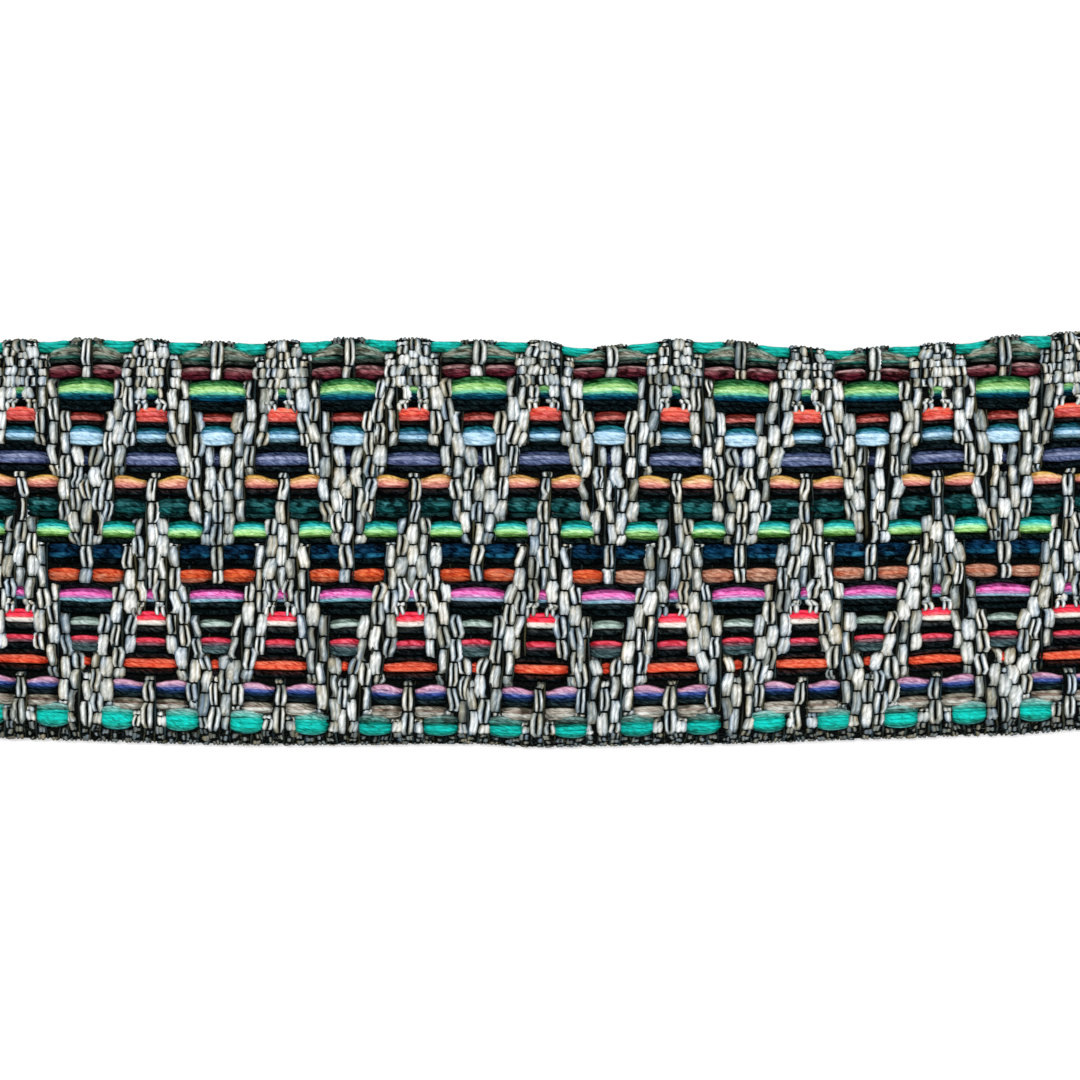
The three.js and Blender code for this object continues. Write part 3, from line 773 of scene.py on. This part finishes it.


# Painted light and shade on a cream yarn, times the grain's own tone: light on its crest, painted shade at
# its sides and towards the ties, on short grains, in hollows, at the selvedges and on the covered yarn of a
# rolled pair. Where the two of a pair lie close, the side between them stays light.
def creamShadeAndTone(grains, hand, leads, rng):
    angle = ringAngles(creamYarn["sides"])
    level = grains["level"] * (1 - creamYarn["selvedgeShade"] * grains["edge"])
    ringLevel = 1 + wander(rng, len(level), *creamYarn["waver"]["level"])
    level = level * np.clip(ringLevel, *creamYarn["ringLevelLimits"])
    least, perLength = creamYarn["shortLight"]
    byLength = np.clip(least + perLength * grains["length"], *creamYarn["shortLightLimits"])
    level = level * grains["hollow"] * np.where(grains["tooth"], teeth["level"], byLength)
    level = level * np.where(grains["rolled"] & ~leads, creamYarn["rolledLevel"], 1.0)
    upright = np.clip(np.sin(angle), 0, 1)[None, :]
    inner = (np.cos(angle) * -hand > creamYarn["innerFrom"])[None, :]
    sideLevel = np.where(inner, fromLie("inner", grains, leads)[:, None], creamYarn["outerSide"])
    around = sideLevel + (1 - sideLevel) * upright ** creamYarn["lightPower"]
    ends = creamYarn["tieLight"] + (1 - creamYarn["tieLight"]) * np.clip(grains["fullness"], 0, 1)
    return np.clip(level[:, None] * around * ends[:, None], 0, 1)


def creamColour(grains, rng):
    warm, cool = (np.array(hexToLinear(creamYarn[name])) for name in ("warm", "cool"))
    warmth = grains["warmth"] + wander(rng, len(grains["warmth"]), *creamYarn["waver"]["warmth"])
    aroundIt = grains["sideWarmth"][:, None] * np.cos(ringAngles(creamYarn["sides"]))
    warmth = np.clip(warmth[:, None] + aroundIt, *creamYarn["warmthLimits"])[:, :, None]
    return warm * warmth + cool * (1 - warmth)


def creamPaths(columns, rng):
    paths = []
    vary = creamYarn["vary"]
    for column in columns:
        grains = pairGrains(column, rng)
        rings = len(grains["fromTop"])
        for hand in (-1, 1):
            leads = grains["leading"] == hand
            half, reach = creamOutline(grains, hand, leads)
            along = column * strap["columnPitch"] + reach + grains["drift"]
            along = along + rng.normal(0, vary["ringAlong"], rings)
            down = grains["fromTop"] + rng.normal(0, vary["ringDown"], rings)
            down = np.clip(down, creamYarn["edgeClear"], strap["width"] - creamYarn["edgeClear"])
            thickShare = creamYarn["endThick"] + (1 - creamYarn["endThick"]) * grains["arch"]
            faceThick = creamYarn["thick"] * thickShare
            paths.append({
                "points": np.stack([along, -down, creamHeight(grains, hand, leads, half)], axis=1),
                "half": np.clip(half, creamYarn["leastHalf"], None),
                "thick": np.where(grains["onFace"], faceThick, creamYarn["underThick"]),
                "paintedShadeAndTone": creamShadeAndTone(grains, hand, leads, rng),
                "colour": creamColour(grains, rng),
            })
    return paths


def blackCrossPaths(columns, rng):
    paths = []
    sides = blackCross["sides"]
    waver = blackCross["waver"]
    olive, slate = (np.array(hexToLinear(blackCross[name])) for name in ("olive", "slate"))
    for column in columns:
        fromTop, segment, onFace, step, length = columnRings(
            column, blackCross["steps"], blackCross["steps"])
        count = len(fromTop)
        fullness = 1 - np.abs(2 * step - 1) ** blackCross["bluntness"]
        arch = fullness * np.clip(length / blackCross["fullLength"], blackCross["leastSize"], 1.0)
        face = blackCross["tieHeight"] + (blackCross["faceHeight"] - blackCross["tieHeight"]) * arch
        height = np.where(onFace, face, blackCross["underHeight"])
        along = (column + 0.5) * strap["columnPitch"] + wander(rng, count, *waver["place"])
        radius = np.clip(1 + wander(rng, count, *waver["radius"]), *blackCross["radiusLimits"])
        radius = blackCross["radius"] * radius
        oliveShare = np.clip(0.5 + wander(rng, count, *waver["dye"]), 0, 1)[:, None]
        colour = olive * oliveShare + slate * (1 - oliveShare)
        least, more = blackCross["level"]
        level = np.clip(least + more * rng.random() + wander(rng, count, *waver["level"]), 0, 1)
        height = height + wander(rng, count, *waver["height"])
        paths.append({
            "points": np.stack([along, -fromTop, height], axis=1),
            "half": radius,
            "thick": radius,
            "paintedShadeAndTone": np.repeat(level[:, None], sides, axis=1),
            "colour": np.repeat(colour[:, None, :], sides, axis=1),
        })
    return paths


# Coloured strands run along the strap, float on the face in their own columns and pass behind the others
floatYarn = {
    "sides": 6,
    "faceHeight": 1.70,
    "backHeight": 0.38,
    "blackDrop": 0.36,  # the dark filling yarns lie a little deeper
    "middleRise": 0.16,
    "usualSpan": 3,  # columns in a float that rises so much in its middle
    "spanLimits": (0.3, 1.3),
    "crown": 0.22,  # how much higher the middle strands of a float lie than its edges
    "flatness": 0.80,  # thickness of a strand as a share of its width
    "inset": 0.20,  # columns by which a float stops short of the next grains
    "dive": 0.42,  # columns that a strand takes to pass from face to back, each side of the crossing
    "gather": 0.05,  # the strands of a float crowd together at its ends
    "endPower": 4,  # how late in a float its ends begin
    "endLimit": 1.2,
    "endThin": 0.07,
    "backThin": 0.12,
    "peekSpan": 1.5,  # columns, below which a float is a peek
    "peekDrop": 0.20,
    "atPoint": 0.6,  # columns, within which a float's middle is at the point of a V
    "blend": 0.5,  # how much of the next strand's dye shows at a side
    "blackBlend": 0.15,
    "innerSide": 0.85,  # light between two bright strands
    "outerSide": 0.25,
    "level": 0.92,
    # painted shade at the ends of a float, where it dives under the grains
    "endShade": 0.34,
    "levelLimits": (0.6, 1),
    "mottleEvery": 2,  # rings
    "mottleLimits": (0.25, 1.3),
    "dyeVary": 0.3,  # from float to float
    "waver": {
        "dye": (3, 0.24), "height": (6, 0.03), "place": (8, 0.05), "width": (5, 0.06), "level": (4, 0.08)},
    # Rings of a strand in a column, as steps from its middle: on the face, on the back, and there also just
    # after a float and just before one
    "faceRings": (-0.5, -0.25, 0, 0.25),
    "backRings": (0,),
    "leavingRings": (-0.5, -0.22),
    "nearingRings": (0.25,),
}


def faceColumns(row, withPeek):
    columns = set(drafts[row["draft"]])
    if withPeek:
        columns.add(row["peek"]["column"])
    return columns


# Ring places along the strap for one set of face columns: close together in a float, few elsewhere
def floatRings(columns):
    size = strap["columnsPerRepeat"]
    face = [c in columns for c in range(size)]
    rings = set()
    for column in range(-strap["reach"], strap["reach"]):
        here, before, after = (face[(column + d) % size] for d in (0, -1, 1))
        steps = floatYarn["faceRings" if here else "backRings"]
        if before and not here:
            steps += floatYarn["leavingRings"]
        if after and not here:
            steps += floatYarn["nearingRings"]
        rings.update(column + step for step in steps)
    rings = np.array(sorted(rings) + [strap["reach"]], float)
    return rings[rings >= -strap["reach"]]


# For each ring: how far up the strand is, from 0 on the back to 1 on the face, where it is in the
# float, from -1 to 1, the float's length in columns, its number, and which end points to the V
def floatShape(columns, rings, inset):
    size = strap["columnsPerRepeat"]
    halfRepeat = size // 2
    cells = np.arange(-strap["reach"] - size, strap["reach"] + size + 1)
    face = np.array([c % size in columns for c in cells])
    halfCell = 0.5 - inset
    starts = cells[1:][face[1:] & ~face[:-1]] - halfCell
    ends = cells[:-1][face[:-1] & ~face[1:]] + halfCell
    ends = ends[ends > starts[0]]
    shape = {key: np.zeros(len(rings)) for key in ("face", "place", "span", "number", "inward")}
    shape["place"] += 2.0  # outside all floats
    for number, (start, end) in enumerate(zip(starts, ends)):
        near = (rings > start - 1) & (rings < end + 1)
        inside = np.minimum(rings[near] - start, end - rings[near])
        rise = np.clip(inside / floatYarn["dive"] / 2 + 0.5, 0, 1)
        closer = rise >= shape["face"][near]
        own = np.flatnonzero(near)[closer]
        middle = (start + end) / 2
        toPoint = round(middle / halfRepeat) * halfRepeat - middle
        shape["face"][own] = (rise * rise * (3 - 2 * rise))[closer]
        shape["place"][own] = (rings[own] - middle) / ((end - start) / 2)
        shape["span"][own] = end - start
        shape["number"][own] = number
        shape["inward"][own] = 0 if abs(toPoint) < floatYarn["atPoint"] else math.copysign(1, toPoint)
    return shape


def strandColour(row, colourName, rings, shape, rng):
    main, other = (np.array(hexToLinear(h)) for h in yarnColours[colourName])
    number = shape["number"].astype(int)
    perFloat = rng.normal(0.5, floatYarn["dyeVary"], number.max() + 1)[number]
    turn = np.interp(rings * strap["columnPitch"], *zip(*row.get("turn", ((0, 0),))))
    mix = perFloat + wander(rng, len(rings), *floatYarn["waver"]["dye"]) + turn
    mix = np.clip(mix, 0, 1)[:, None]
    return main * (1 - mix) + other * mix


# The strands of a row from its upper edge down, and where across the bundle of its bright ones each lies,
# from -1 to 1
def rowStrands(row, rings, rng):
    strands = []
    for index, (colourName, fromTop, half, fall) in enumerate(row["strands"]):
        peeks = "peek" in row and index in row["peek"]["strands"]
        shape = floatShape(faceColumns(row, peeks), rings, row.get("inset", floatYarn["inset"]))
        strands.append({
            "dark": colourName == "black", "fromTop": fromTop, "half": half, "fall": fall, "shape": shape,
            "peeking": (shape["span"] < floatYarn["peekSpan"]) & (shape["face"] > 0),
            "colour": strandColour(row, colourName, rings, shape, rng),
        })
    bright = [strand for strand in strands if not strand["dark"]]
    start = bright[0]["fromTop"] - bright[0]["half"]
    end = bright[-1]["fromTop"] + bright[-1]["half"]
    for strand in strands:
        strand["inBundle"] = np.clip(2 * (strand["fromTop"] - start) / (end - start) - 1, -1, 1)
    return strands


# Floats arch, and the middle strands of a bundle lie highest
def strandHeight(row, index, strand, arch, rng):
    shape = strand["shape"]
    wide = np.clip(shape["span"] / floatYarn["usualSpan"], *floatYarn["spanLimits"])
    top = floatYarn["faceHeight"] + row.get("lift", 0) - (floatYarn["blackDrop"] if strand["dark"] else 0)
    top = top + floatYarn["middleRise"] * arch * wide + floatYarn["crown"] * (1 - strand["inBundle"] ** 2)
    height = floatYarn["backHeight"] + (top - floatYarn["backHeight"]) * shape["face"]
    height = height + wander(rng, len(arch), *floatYarn["waver"]["height"]) * shape["face"]
    height = height - floatYarn["peekDrop"] * strand["peeking"] * shape["face"]
    if index == 0 and teethEnd(row):
        height = height - teeth["tuck"] * shape["face"]
    return height


def strandDown(row, index, strand, arch, crowd, rng):
    shape = strand["shape"]
    centre = (row["cover"][0] + row["cover"][1]) / 2
    down = centre + (strand["fromTop"] - centre) * (1 - floatYarn["gather"] * crowd)
    down = down + strand["fall"] * (1 - arch) + wander(rng, len(arch), *floatYarn["waver"]["place"])
    tilt = row["tilts"][index] if "tilts" in row else 0
    return down - tilt * (np.clip(shape["place"], -1, 1) * shape["inward"]) / 2 * shape["face"]


# The dyes of its neighbours show at the sides of a strand; next to a black strand this also paints shade on
# that side
def dyesAround(strands, index):
    last = len(strands) - 1
    colour, above, below = (
        strands[min(max(i, 0), last)]["colour"][:, None, :] for i in (index, index - 1, index + 1))
    share = floatYarn["blackBlend" if strands[index]["dark"] else "blend"]
    upwards = np.cos(ringAngles(floatYarn["sides"]))
    toAbove = np.clip(upwards, 0, 1)[None, :, None] ** 2 * share
    toBelow = np.clip(-upwards, 0, 1)[None, :, None] ** 2 * share
    return colour * (1 - toAbove - toBelow) + above * toAbove + below * toBelow


# Painted light and shade on a strand, times its own mottled tone: light on its crest, painted shade at its
# outer sides, at the ends of its floats and on peeks
def strandShadeAndTone(row, index, strands, crowd, rng):
    strand = strands[index]
    angle = ringAngles(floatYarn["sides"])
    inner, outer = floatYarn["innerSide"], floatYarn["outerSide"]
    upper = inner if index > 0 and not strand["dark"] else row.get("edgeLevel", outer)
    lower = inner if index < len(strands) - 1 and not strand["dark"] else outer
    sideLevel = np.where(np.cos(angle) > 0, upper, lower)
    around = sideLevel + (1 - sideLevel) * np.clip(np.sin(angle), 0, 1)
    level = floatYarn["level"] + wander(rng, len(crowd), *floatYarn["waver"]["level"])
    level = np.clip(level, *floatYarn["levelLimits"]) * (1 - floatYarn["endShade"] * np.clip(crowd, 0, 1))
    level = level * np.where(strand["peeking"], row.get("peek", {}).get("level", 1), 1)
    mottle = 1 + wander(rng, len(crowd), floatYarn["mottleEvery"], row.get("mottle", 0))
    level = level * np.clip(mottle, *floatYarn["mottleLimits"])
    return level[:, None] * around[None, :]


def colourPaths(row, rng):
    rings = floatRings(faceColumns(row, "peek" in row))
    strands = rowStrands(row, rings, rng)
    paths = []
    for index, strand in enumerate(strands):
        shape = strand["shape"]
        crownPlace = shape["place"] + row.get("skew", 0) * shape["inward"]
        arch = np.clip(1 - crownPlace ** 2, 0, 1)
        crowd = np.clip(np.abs(shape["place"]), 0, floatYarn["endLimit"]) ** floatYarn["endPower"]
        height = strandHeight(row, index, strand, arch, rng)
        down = strandDown(row, index, strand, arch, crowd, rng)
        half = strand["half"] * (1 + wander(rng, len(rings), *floatYarn["waver"]["width"]))
        half = half * (1 - floatYarn["endThin"] * crowd - floatYarn["backThin"] * (1 - shape["face"]))
        paths.append({
            "points": np.stack([rings * strap["columnPitch"], -down, height], axis=1),
            "half": half,
            "thick": half * floatYarn["flatness"],
            "paintedShadeAndTone": strandShadeAndTone(row, index, strands, crowd, rng),
            "colour": dyesAround(strands, index),
        })
    return paths


tieThread = {
    "sides": 4,
    "radius": 0.14,
    "radiusWaver": (2, 0.15),
    "radiusLimits": (0.6, 1.4),
    "overHeight": 1.42,
    "underHeight": 1.00,
    "colour": "#0C0E0D",
}


def tiePaths(rng):
    paths = []
    sides = tieThread["sides"]
    cells = np.arange(-strap["reach"], strap["reach"] + 1)
    classes = cells % strap["columnsPerRepeat"]
    places = np.linspace(cells[0], cells[-1], 2 * len(cells) - 1)
    for tie in ties:
        over = [tieIsOver(tie, c) and not isCovered(c, tie["at"]) for c in classes]
        atColumn = np.where(over, tieThread["overHeight"], tieThread["underHeight"])
        down = tie["at"] + np.interp(places, cells, tieShifts[tie["at"]])
        radius = 1 + wander(rng, len(places), *tieThread["radiusWaver"])
        radius = tieThread["radius"] * tie.get("thick", 1) * np.clip(radius, *tieThread["radiusLimits"])
        height = np.interp(places, cells, atColumn)
        paths.append({
            "points": np.stack([places * strap["columnPitch"], -down, height], axis=1),
            "half": radius,
            "thick": radius,
            "paintedShadeAndTone": np.full((len(places), sides), rng.random()),
            "colour": np.tile(np.array(hexToLinear(tieThread["colour"])), (len(places), sides, 1)),
        })
    return paths


bumpDepth = 0.1  # millimetres
lint = {"length": 0.25, "around": 9.0, "place": (3.1, 5.7, 0.0)}  # millimetres, and spots in a turn


# Spun yarn, with a UV map in millimetres along it and turns round it: fibres along the thread, with a
# painted highlight on bright ones and painted shade on dark ones, painted shade at the sides, and a surface
# that catches a little light. Single fibres, 0.02 mm thick, are too fine to show. What is drawn is the
# bundles they lie in, 0.2 to 0.3 mm wide.
def yarnMaterial(name, look):
    material = bpy.data.materials.new(name)
    material.use_nodes = True
    tree = material.node_tree
    shader = tree.nodes["Principled BSDF"]
    shader.inputs["Roughness"].default_value = look["roughness"]
    uv = addNode(tree, "ShaderNodeUVMap", {"uv_map": "yarnMap"}).outputs["UV"]
    paintedShadeAndTone = addNode(tree, "ShaderNodeAttribute", {"attribute_name": "paintedShadeAndTone"}).outputs["Fac"]
    dye = addNode(tree, "ShaderNodeAttribute", {"attribute_name": "yarnColour"}).outputs["Color"]
    stretched = addNode(tree, "ShaderNodeMapping", {"vector_type": "TEXTURE"}, {
        "Scale": (look["fibreLength"], look["fibreWidth"] / look["girth"], 1.0),
        "Rotation": (0.0, 0.0, look["twist"]),
    }, {"Vector": uv})
    fibres = addNode(tree, "ShaderNodeTexNoise", values={
        "Scale": 1.0, "Detail": 3.0, "Roughness": 0.6, "Distortion": 0.5,
    }, links={"Vector": stretched.outputs["Vector"]}).outputs["Fac"]
    # Painted light: 1 on the crest of a light yarn, and less on dark fibres and where the painted shade and
    # tone is low. On the way down to the painted shade the dye first turns deep.
    fibreLight = addNode(tree, "ShaderNodeMapRange", values={
        "From Min": 0.32, "From Max": 0.62, "To Min": look["fibreShade"], "To Max": 1.0,
    }, links={"Value": fibres})
    light = addNode(tree, "ShaderNodeMath", {"operation": "MULTIPLY"}, links={
        0: fibreLight.outputs["Result"], 1: paintedShadeAndTone}).outputs["Value"]
    deepDye = addNode(tree, "ShaderNodeGamma", values={"Gamma": look["deepen"]}, links={"Color": dye})
    fullShare = addNode(tree, "ShaderNodeMapRange", values={
        "From Min": 0.35, "From Max": 0.95}, links={"Value": light})
    dyed = addNode(tree, "ShaderNodeMix", {"data_type": "RGBA"}, links={
        0: fullShare.outputs["Result"], 6: deepDye.outputs["Color"], 7: dye})
    litShare = addNode(tree, "ShaderNodeMapRange", values={
        "From Min": 0.0, "From Max": look["shadeUntil"]}, links={"Value": light})
    shaded = addNode(tree, "ShaderNodeMix", {"data_type": "RGBA"}, links={
        0: litShare.outputs["Result"], 7: dyed.outputs[2]})
    if "shadeGamma" in look:
        ownShade = addNode(
            tree, "ShaderNodeGamma", values={"Gamma": look["shadeGamma"]}, links={"Color": dye})
        tree.links.new(ownShade.outputs["Color"], shaded.inputs[6])
    else:
        shaded.inputs[6].default_value = hexToLinear(look["shade"])
    # Painted highlight: the brightest fibres shine in a paler tint of their own dye
    paleDye = addNode(tree, "ShaderNodeGamma", values={"Gamma": look["pale"]}, links={"Color": dye})
    brightest = addNode(tree, "ShaderNodeMapRange", values={
        "From Min": 0.50, "From Max": 0.72, "To Min": 0.0, "To Max": look["glint"],
    }, links={"Value": fibres})
    glint = addNode(tree, "ShaderNodeMath", {"operation": "MULTIPLY"}, links={
        0: brightest.outputs["Result"], 1: paintedShadeAndTone})
    shining = addNode(tree, "ShaderNodeMix", {"data_type": "RGBA", "blend_type": "SCREEN"}, links={
        0: glint.outputs["Value"], 6: shaded.outputs[2], 7: paleDye.outputs["Color"]})
    # Pale lint that clings to the yarn
    lintPlace = addNode(tree, "ShaderNodeMapping", values={
        "Scale": (1 / lint["length"], lint["around"], 1.0), "Location": lint["place"],
    }, links={"Vector": uv})
    lintNoise = addNode(tree, "ShaderNodeTexNoise", values={
        "Scale": 1.0, "Detail": 2.0, "Roughness": 0.6,
    }, links={"Vector": lintPlace.outputs["Vector"]})
    lintCover = addNode(tree, "ShaderNodeMapRange", values={
        "From Min": 0.56, "From Max": 0.68, "To Min": 0.0, "To Max": look["lint"],
    }, links={"Value": lintNoise.outputs["Fac"]})
    linted = addNode(tree, "ShaderNodeMix", {"data_type": "RGBA"}, values={
        7: hexToLinear(look["lintColour"]),
    }, links={0: lintCover.outputs["Result"], 6: shining.outputs[2]})
    # Only what is light shines
    grey = addNode(tree, "ShaderNodeRGBToBW", links={"Color": shaded.outputs[2]})
    gloss = addNode(tree, "ShaderNodeMapRange", values={
        "From Min": 0.01, "From Max": 0.2, "To Min": 0.0, "To Max": look["specular"],
    }, links={"Value": grey.outputs["Val"]})
    bump = addNode(tree, "ShaderNodeBump", values={
        "Strength": look["bump"], "Distance": bumpDepth * mm}, links={"Height": fibres})
    tree.links.new(linted.outputs[2], shader.inputs["Base Color"])
    tree.links.new(gloss.outputs["Result"], shader.inputs["Specular IOR Level"])
    tree.links.new(bump.outputs["Normal"], shader.inputs["Normal"])
    return material


# Unbleached cotton, spun from short fibres: matt and off-white, with painted shade between its fibres, and
# a painted shade, deep in its own colour, at its sides. Lengths, widths and the girth of a yarn are in
# millimetres.
creamLook = {
    "roughness": 0.8, "specular": 0.2, "shadeGamma": 17.0, "shadeUntil": 0.38, "deepen": 6.6, "pale": 0.5,
    "fibreLength": 0.9, "fibreWidth": 0.32, "girth": 2.0, "twist": 0.12, "fibreShade": 0.62, "glint": 0.3,
    "bump": 0.6, "lint": 0.10, "lintColour": "#6A6456",
}
# Filament yarn, dyed in bands: a painted sheen in its own tint on the crests, and painted shade towards the
# sides, deep in colour and nearly black at the edge
colourLook = {
    "roughness": 0.65, "specular": 0.12, "shade": "#030404", "shadeUntil": 0.6, "deepen": 1.8, "pale": 0.7,
    "fibreLength": 0.9, "fibreWidth": 0.30, "girth": 2.0, "twist": 0.18, "fibreShade": 0.42, "glint": 0.5,
    "bump": 0.7, "lint": 0.25, "lintColour": "#2E4042",
}
# Fine spun polyester: black and dull, with spots of thick grey lint
blackLook = {
    "roughness": 0.9, "specular": 0.05, "shade": "#030404", "shadeUntil": 1.0, "deepen": 1.0, "pale": 1.0,
    "fibreLength": 0.6, "fibreWidth": 0.2, "girth": 0.8, "twist": 0.2, "fibreShade": 0.5, "glint": 0.0,
    "bump": 0.5, "lint": 0.5, "lintColour": "#3A4644",
}
creamMaterial = yarnMaterial("unbleached spun cotton", creamLook)
colourMaterial = yarnMaterial("space-dyed filament yarn", colourLook)
blackMaterial = yarnMaterial("black spun polyester", blackLook)
print("materials ready")

rng = np.random.default_rng(11)
leftColumns = range(-strap["reach"] + 1, 0)
rightColumns = range(0, strap["reach"])
allColumns = [*leftColumns, *rightColumns]
yarnPieces = [
    makeYarns("creamYarnsLeft", creamYarn, creamPaths(leftColumns, rng), creamMaterial),
    makeYarns("creamYarnsRight", creamYarn, creamPaths(rightColumns, rng), creamMaterial),
    makeYarns(
        "blackCrossThreads", blackCross, blackCrossPaths(allColumns, rng), blackMaterial),
    makeYarns("tieThreads", tieThread, tiePaths(rng), blackMaterial),
]
for row in colourRows:
    yarnPieces.append(makeYarns(
        row["name"] + "Yarns", floatYarn, colourPaths(row, rng), colourMaterial))

# A thin dark sheet closes the gaps between the yarns
groundCloth = {
    "height": 0.85,
    "thickness": 0.14,
    "inset": 0.9,  # from each selvedge
    "endInset": 0.4,  # columns, from each cut end
    "columns": 80,
    "rows": 24,
    "thread": 0.4,  # millimetres from one ground thread to the next
    "dark": "#040505",
    "light": "#0A0C0C",
}


# Plain weave of fine black threads, dull and nearly without light: a faint check shows between the yarns
def groundMaterial():
    material = bpy.data.materials.new("black ground weave")
    material.use_nodes = True
    tree = material.node_tree
    shader = tree.nodes["Principled BSDF"]
    shader.inputs["Roughness"].default_value = 0.95
    shader.inputs["Specular IOR Level"].default_value = 0.05
    position = addNode(tree, "ShaderNodeTexCoord")
    threads = addNode(tree, "ShaderNodeTexChecker", values={
        "Scale": 1 / (groundCloth["thread"] * mm),
        "Color1": hexToLinear(groundCloth["dark"]),
        "Color2": hexToLinear(groundCloth["light"]),
    }, links={"Vector": position.outputs["Object"]})
    tree.links.new(threads.outputs["Color"], shader.inputs["Base Color"])
    return material


def makeGround():
    bpy.ops.object.select_all(action="DESELECT")
    bpy.ops.mesh.primitive_grid_add(
        x_subdivisions=groundCloth["columns"], y_subdivisions=groundCloth["rows"], size=2)
    ground = bpy.context.object
    ground.name = "groundCloth"
    points = np.array([v.co for v in ground.data.vertices], float)
    length = (strap["reach"] - groundCloth["endInset"]) * strap["columnPitch"]
    depth = strap["width"] / 2 - groundCloth["inset"]
    x, y = placeOnStrap(points[:, 0] * length, strap["width"] / 2 - points[:, 1] * depth)
    points = np.stack([x, y, np.full(len(points), groundCloth["height"])], axis=1) * mm
    ground.data.vertices.foreach_set("co", points.astype(np.float32).ravel())
    ground.data.update()
    solidify = ground.modifiers.new("thickness", "SOLIDIFY")
    solidify.thickness = groundCloth["thickness"] * mm
    solidify.offset = 0
    bpy.ops.object.modifier_apply(modifier="thickness")
    bpy.ops.object.shade_smooth()
    ground.data.materials.append(groundMaterial())
    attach(ground, bodyName)
    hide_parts(nodeName)


makeGround()
print("ground cloth ready")

view = {
    "pictureWidth": 134.33,  # millimetres of strap across the picture
    "lens": 100.0,
    "sensor": 36.0,
    "along": -0.572,  # the picture's middle, from the strap's middle
    "across": 0.249,
    "planeHeight": 1.7,  # of the strap's face, where that width is measured
    "clip": (0.01, 10),  # metres
}


def makeCamera():
    data = bpy.data.cameras.new("camera")
    data.lens = view["lens"]
    data.sensor_width = view["sensor"]
    data.clip_start, data.clip_end = view["clip"]
    camera = bpy.data.objects.new("camera", data)
    bpy.context.scene.collection.objects.link(camera)
    distance = view["pictureWidth"] * view["lens"] / view["sensor"] + view["planeHeight"]
    camera.location = (view["along"] * mm, (view["across"] - acrossShift) * mm, distance * mm)
    bpy.context.scene.camera = camera


lamps = {
    "keyLight": {"place": (-0.14, 0.19, 0.68), "size": 0.45, "power": 4.2},
    "fillLight": {"place": (0.3, -0.2, 0.68), "size": 0.5, "power": 2.2},
}


# A round soft lamp that looks at the strap's middle
def makeLamp(name):
    data = bpy.data.lights.new(name, "AREA")
    data.shape = "DISK"
    data.size = lamps[name]["size"]
    data.energy = lamps[name]["power"]
    lamp = bpy.data.objects.new(name, data)
    lamp.location = lamps[name]["place"]
    lamp.rotation_mode = "QUATERNION"
    lamp.rotation_quaternion = lamp.location.to_track_quat("Z", "Y")
    bpy.context.scene.collection.objects.link(lamp)


paper = {"size": 4, "below": 0.0002, "colour": "#FAFAFA", "roughness": 0.9}


# White drawing paper: even and dull, so that it gives no reflection of the strap
def makeFloor():
    bpy.ops.object.select_all(action="DESELECT")
    bpy.ops.mesh.primitive_plane_add(size=paper["size"], location=(0, 0, -paper["below"]))
    floor = bpy.context.object
    floor.name = "floor"
    material = bpy.data.materials.new("white paper")
    material.use_nodes = True
    shader = material.node_tree.nodes["Principled BSDF"]
    shader.inputs["Base Color"].default_value = hexToLinear(paper["colour"])
    shader.inputs["Roughness"].default_value = paper["roughness"]
    floor.data.materials.append(material)


def makeStudio(skyStrength):
    for name in lamps:
        makeLamp(name)
    world = bpy.data.worlds.new("studio")
    world.use_nodes = True
    background = world.node_tree.nodes["Background"]
    background.inputs["Color"].default_value = (1, 1, 1, 1)
    background.inputs["Strength"].default_value = skyStrength
    bpy.context.scene.world = world
    bpy.context.scene.view_settings.view_transform = "Standard"


makeCamera()
makeFloor()
makeStudio(skyStrength=0.5)
print("camera, paper and lamps ready")
